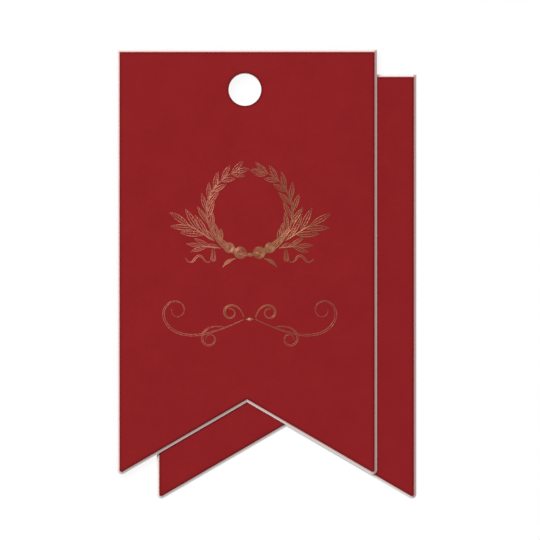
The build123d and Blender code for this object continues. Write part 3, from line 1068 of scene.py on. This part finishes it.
class GIFT_TAG_OT_bow(bpy.types.Operator):
    """Stamp the bow: its knot, loops and tails, and the wraps that run on to the branches"""

    bl_idname = "gift_tag.bow"
    bl_label = "Stamp the bow"

    def execute(self, context):
        bow = context.scene.gift_tag_bow
        loop = self.loop(bow)
        wrap = self.wrap(bow)
        tail = self.tail(bow)
        for name, side in SIDES:
            stamp(f"{name}_bow_loop", ribbon(side, loop, bow.line_width))
            stamp(f"{name}_stem_wrap", ribbon(side, wrap, bow.line_width))
            stamp(f"{name}_bow_tail", ribbon(side, tail, bow.line_width))
        reach = bow.knot_radius - bow.line_width / 2
        almost_round = 2 * pi * 0.97
        rim = arc(Vector((0, 0, 0)), reach, 0, almost_round, steps=32)
        knot = [ink([on_side(1, rim, KNOT_CENTRE)], bow.line_width, bow.line_width)]
        fold_bulge = 0.6
        fold_turn = 1.4
        turns = evenly(-fold_turn, fold_turn, steps=12)
        for layer, bulge in enumerate(evenly(-fold_bulge, fold_bulge, steps=2)):
            fold = [Vector((reach * bulge * cos(turn), reach * sin(turn), 0)) for turn in turns]
            knot.append(ink([on_side(1, fold, KNOT_CENTRE)], bow.line_width, layer=layer + 1))
        stamp("bow_knot", knot)
        return {"FINISHED"}

    def loop_end(self, bow):
        """The middle of the right loop's round end."""
        reach = bow.knot_radius + bow.gap + bow.loop_neck + bow.loop_end_radius
        return toward(bow.loop_heading) * reach

    def loop(self, bow):
        """Lines round the right loop."""
        foot = toward(bow.loop_heading) * (bow.knot_radius + bow.gap)
        sizes = (bow.loop_neck, bow.loop_end_radius, bow.loop_band, bow.loop_lines)
        return loop_lines(bow, foot, bow.loop_heading, *sizes, bow.creases)

    def wrap(self, bow):
        """Lines round the right wrap, whose round end lies against the loop."""
        reach = bow.loop_end_radius + bow.gap + 2 * bow.wrap_end_radius + bow.wrap_neck
        foot = self.loop_end(bow) + toward(bow.wrap_heading) * reach
        sizes = (bow.wrap_neck, bow.wrap_end_radius, bow.wrap_band, bow.loop_lines)
        return loop_lines(bow, foot, bow.wrap_heading + pi, *sizes, bow.creases)

    def tail(self, bow):
        """Lines along the right tail."""
        reach = bow.loop_end_radius + bow.gap + bow.end_width
        path = pen_path(
            self.loop_end(bow) + toward(bow.tail_leave) * reach,
            lambda share: bow.tail_heading + bow.tail_bend * share,
            bow.tail_length,
            steps=40,
        )
        return ribbon_lines(path, bow.end_width, bow.tail_width, bow.tail_lines)


class GIFT_TAG_OT_streamers(bpy.types.Operator):
    """Stamp the falls of ribbon below the lower sprays and the streamers that wave from them"""

    bl_idname = "gift_tag.streamers"
    bl_label = "Stamp the streamers"

    def execute(self, context):
        scene = context.scene
        bow = scene.gift_tag_bow
        look = scene.gift_tag_streamer
        spray = scene.gift_tag_lower_spray
        hung_from = spray_foot(scene.gift_tag_branch, spray) + toward(spray.heading) * look.fall_along
        foot = hung_from - Vector((0, look.fall_below, 0))
        sizes = (look.fall_neck, look.fall_end_radius, look.fall_band, look.fall_lines)
        fall = loop_lines(bow, foot, look.fall_heading, *sizes)
        end = foot + toward(look.fall_heading) * (look.fall_neck + look.fall_end_radius)
        path = pen_path(
            end + toward(look.leave) * (look.fall_end_radius + bow.gap + bow.end_width),
            lambda share: look.swing * sin(2 * pi * look.waves * share - look.lead),
            look.length,
            steps=72,
        )
        streamer = ribbon_lines(path, bow.end_width, look.width, look.lines)
        for name, side in SIDES:
            stamp(f"{name}_ribbon_fall", ribbon(side, fall, look.line_width))
            stamp(f"{name}_streamer", ribbon(side, streamer, look.line_width))
        return {"FINISHED"}


class GIFT_TAG_OT_scroll(bpy.types.Operator):
    """Stamp the pen scroll below the wreath, with the lozenge between its halves"""

    bl_idname = "gift_tag.scroll"
    bl_label = "Stamp the scroll"

    def execute(self, context):
        scroll = context.scene.gift_tag_scroll
        strokes = (
            (self.long_stroke(scroll), scroll.long_swell),
            (self.low_curl(scroll), scroll.low_swell),
            (self.top_curl(scroll), scroll.top_swell),
        )
        lines = []
        for path, swell in strokes:
            lines.extend(ribbon_lines(path, scroll.hair_width, scroll.hair_width + swell, 2))
        for name, side in SIDES:
            stamp(f"{name}_scroll", ribbon(side, lines, scroll.line_width, SCROLL_CENTRE))
        half = scroll.lozenge_length / 2
        spine = [Vector((reach, 0, 0)) for reach in evenly(-half, half, steps=16)]
        stamp("scroll_lozenge", [ink([on_side(1, spine, SCROLL_CENTRE)], scroll.lozenge_width)])
        return {"FINISHED"}

    def long_stroke(self, scroll):
        """The stroke that sinks from the middle, rises outward and ends in a curl."""
        return pen_path(
            Vector((scroll.inside, 0, 0)),
            lambda share: (
                scroll.long_heading
                + scroll.long_rise * share
                + scroll.long_turn * share**scroll.long_power
            ),
            scroll.long_length,
            steps=200,
        )

    def low_curl(self, scroll):
        """The curl that leaves the long stroke and turns down."""
        return pen_path(
            Vector((scroll.low_out, -scroll.low_drop, 0)),
            lambda share: scroll.low_heading + scroll.low_turn * share**scroll.low_power,
            scroll.low_length,
            steps=120,
        )

    def top_curl(self, scroll):
        """The curl that rises beside the lozenge."""
        return pen_path(
            Vector((scroll.inside, scroll.top_height, 0)),
            lambda share: scroll.top_heading + scroll.top_turn * share**scroll.top_power,
            scroll.top_length,
            steps=120,
        )


class GIFT_TAG_OT_stage(bpy.types.Operator):
    """Lay the white table, light it softly from the upper left and hang the camera straight above"""

    bl_idname = "gift_tag.stage"
    bl_label = "Set the stage"

    def execute(self, context):
        look = context.scene.gift_tag_stage
        context.scene.view_settings.view_transform = "Standard"
        self.lay_table(context, look)
        self.light_room(context, look)
        self.hang_lamp(context, look)
        self.hang_camera(context, look)
        return {"FINISHED"}

    def seen(self, nodes):
        """One where the camera sees a thing, straight or by way of metal or glass, and else nothing."""
        path = nodes.add("ShaderNodeLightPath")
        straight = nodes.term(path, "Is Camera Ray")
        mirrored = nodes.term(path, "Is Glossy Ray")
        return straight.most(mirrored).most(nodes.term(path, "Is Transmission Ray"))

    def lay_table(self, context, look):
        """A plain table that looks white to the camera and still takes the tag's shadow."""
        half = look.table_size / 2
        corners = ((-half, -half), (half, -half), (half, half), (-half, half))
        mesh = bpy.data.meshes.new("table")
        mesh.from_pydata([(x, y, -look.table_drop) for x, y in corners], [], [(0, 1, 2, 3)])
        material = bpy.data.materials.new("table_white")
        material.use_nodes = True
        nodes = Nodes(material.node_tree)
        nodes.tree.nodes.clear()
        seen = self.seen(nodes)
        grey = opaque([look.table_grey] * 3)
        tint = nodes.blend(seen, grey, opaque((1, 1, 1)))
        matt = nodes.add("ShaderNodeBsdfDiffuse", {"Color": tint})
        plain = nodes.add("ShaderNodeEmission", {"Strength": look.table_glow})
        sockets = {"Fac": seen * look.table_plain, "Shader": matt, "Shader_001": plain}
        mix = nodes.add("ShaderNodeMixShader", sockets)
        nodes.add("ShaderNodeOutputMaterial", {"Surface": mix})
        mesh.materials.append(material)
        table = bpy.data.objects.new("table", mesh)
        context.scene.collection.objects.link(table)

    def light_room(self, context, look):
        """An even white room, dimmer as a light than it looks."""
        world = bpy.data.worlds.new("white_room")
        world.use_nodes = True
        nodes = Nodes(world.node_tree)
        nodes.tree.nodes.clear()
        strength = look.sky + self.seen(nodes) * (1 - look.sky)
        white = opaque((1, 1, 1))
        room = nodes.add("ShaderNodeBackground", {"Color": white, "Strength": strength})
        nodes.add("ShaderNodeOutputWorld", {"Surface": room})
        context.scene.world = world

    def hang_lamp(self, context, look):
        """A large soft lamp to the upper left, at the level where colours look as written."""
        lamp = bpy.data.lights.new("soft_lamp", "AREA")
        lamp.shape = "SQUARE"
        lamp.size = look.lamp_size
        lamp.energy = look.lamp * (pi * look.lamp_distance) ** 2 / cos(look.lamp_tilt)
        aside = sin(look.lamp_tilt) / sqrt(2)
        direction = Vector((-aside, aside, cos(look.lamp_tilt)))
        holder = bpy.data.objects.new("soft_lamp", lamp)
        holder.location = Vector((look.view_right, -look.view_down, 0)) + direction * look.lamp_distance
        holder.rotation_euler = direction.to_track_quat("Z", "Y").to_euler()
        context.scene.collection.objects.link(holder)

    def hang_camera(self, context, look):
        """A long lens straight above the tag, whose top edge is level in the picture."""
        camera = bpy.data.cameras.new("camera")
        camera.lens = look.lens
        rise = look.view_width * look.lens / camera.sensor_width
        holder = bpy.data.objects.new("camera", camera)
        holder.location = (look.view_right, -look.view_down, FOIL_BASE + rise)
        context.scene.collection.objects.link(holder)
        context.scene.camera = holder


STEPS = (
    GIFT_TAG_OT_stage,
    GIFT_TAG_OT_card,
    GIFT_TAG_OT_branches,
    GIFT_TAG_OT_sprays,
    GIFT_TAG_OT_bow,
    GIFT_TAG_OT_streamers,
    GIFT_TAG_OT_scroll,
)


class GIFT_TAG_PT_sidebar(bpy.types.Panel):
    """The tag's steps, and the sizes and colours that they use"""

    bl_idname = "GIFT_TAG_PT_sidebar"
    bl_label = "Gift tag"
    bl_space_type = "VIEW_3D"
    bl_region_type = "UI"
    bl_category = "Gift tag"

    def draw(self, context):
        for step in STEPS:
            self.layout.operator(step.bl_idname)
        for name, look in LOOKS:
            box = self.layout.box()
            box.label(text=look.__doc__)
            for key in look.__annotations__:
                box.prop(getattr(context.scene, name), key)


def register():
    """Makes the tag's properties, steps and sidebar known to Blender."""
    for name, look in LOOKS:
        bpy.utils.register_class(look)
        setattr(bpy.types.Scene, name, bpy.props.PointerProperty(type=look))
    for step in STEPS:
        bpy.utils.register_class(step)
    bpy.utils.register_class(GIFT_TAG_PT_sidebar)


def unregister():
    """Takes them out again."""
    bpy.utils.unregister_class(GIFT_TAG_PT_sidebar)
    for step in reversed(STEPS):
        bpy.utils.unregister_class(step)
    for name, look in reversed(LOOKS):
        delattr(bpy.types.Scene, name)
        bpy.utils.unregister_class(look)


def main():
    """Makes the whole scene, step by step."""
    register()
    bpy.ops.gift_tag.stage()
    bpy.ops.gift_tag.card()
    bpy.ops.gift_tag.branches()
    bpy.ops.gift_tag.sprays()
    bpy.ops.gift_tag.bow()
    bpy.ops.gift_tag.streamers()
    bpy.ops.gift_tag.scroll()


if __name__ == "__main__":
    main()
